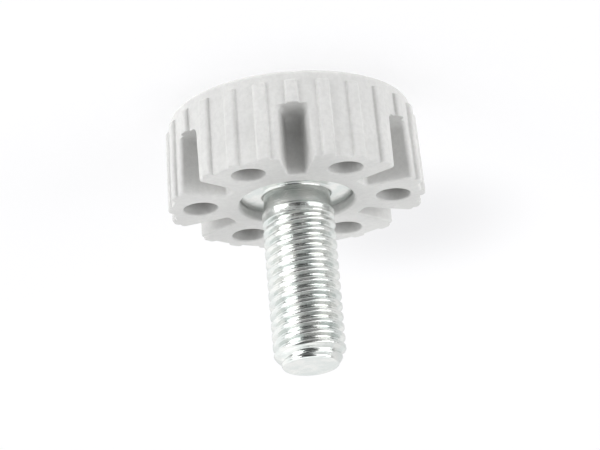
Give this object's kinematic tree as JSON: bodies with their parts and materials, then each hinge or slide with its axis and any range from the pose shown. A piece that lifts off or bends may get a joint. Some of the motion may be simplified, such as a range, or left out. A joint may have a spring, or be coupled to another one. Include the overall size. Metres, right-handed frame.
{
  "type": "leveling foot",
  "caption": "Screw-in leveling foot for furniture and bench equipment: a round ribbed plastic base moulded on a steel M10 stud.",
  "frame": {"origin": "centre of the foot face, which rests on the floor", "axes": "+Z along the stud, from the foot face towards the screw's tip; one radial slot opens towards +Y and one towards -Y"},
  "size_m": [0.0354, 0.0348, 0.037],
  "materials": {
    "plastic": "moulded light grey, satin",
    "zinc_steel": "bright zinc plated"
  },
  "bodies": {
    "root": {"plastic_base": "plastic", "threaded_stud": "zinc_steel"}
  },
  "joints": []
}
